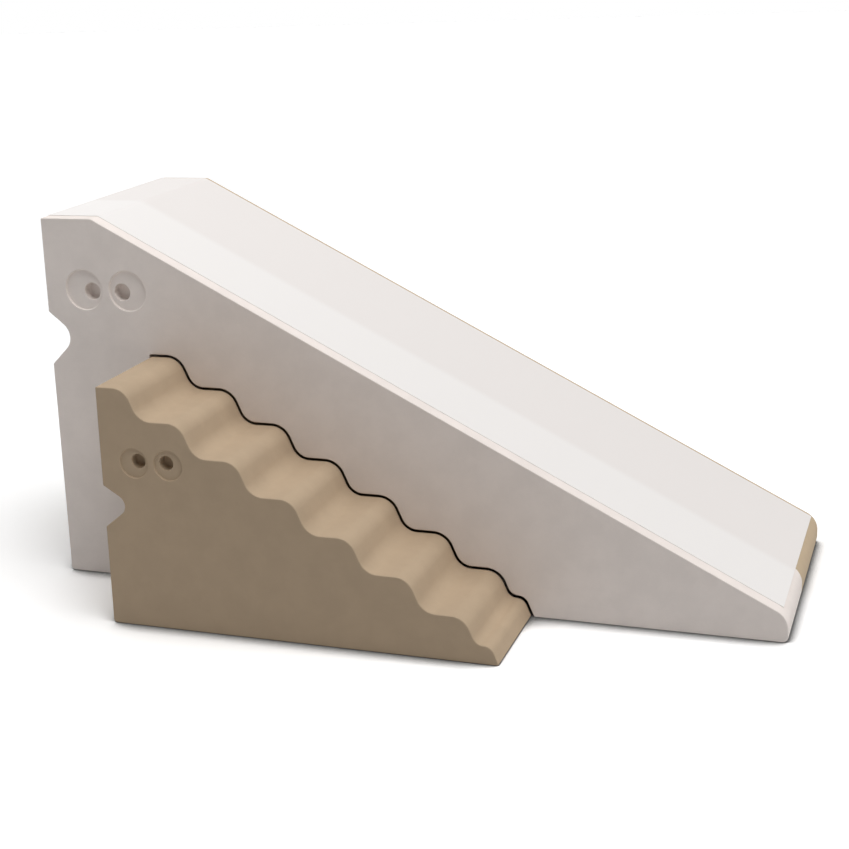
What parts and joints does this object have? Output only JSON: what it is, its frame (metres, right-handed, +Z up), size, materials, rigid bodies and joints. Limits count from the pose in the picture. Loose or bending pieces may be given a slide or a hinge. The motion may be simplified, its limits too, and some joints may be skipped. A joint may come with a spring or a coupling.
{
  "type": "soft play slide",
  "caption": "Wedge-shaped foam toddler slide with an animal face, a white sliding sheet, and wavy foam steps that pull out of a pocket in its side.",
  "frame": {"origin": "on the floor, under the middle of the box round the whole toy with its steps pulled out as in the picture", "axes": "+X along the slide from its high back to its nose, +Y from the side with the steps to the far side, +Z up"},
  "size_m": [1.1798, 0.569, 0.5957],
  "materials": {
    "cream_foam": "matte",
    "tan_foam": "matte",
    "white_sheet": "satin",
    "clear_bond": "matte"
  },
  "bodies": {
    "slide": {"near_slab_ply_1": "cream_foam", "near_slab_ply_2": "cream_foam", "near_slab_ply_3": "cream_foam", "far_slab_ply_1": "tan_foam", "far_slab_ply_2": "tan_foam", "far_slab_ply_3": "tan_foam", "far_slab_ply_4": "tan_foam", "slide_sheet": "white_sheet", "sheet_bond": "clear_bond"},
    "stair": {"stair_ply_1": "tan_foam", "stair_ply_2": "tan_foam", "stair_ply_3": "tan_foam"}
  },
  "joints": [
    {"name": "stair_slide", "type": "slide", "parent": "slide", "child": "stair", "axis": [0, 1, 0], "range_m": [-0.06, 0.1695]}
  ]
}
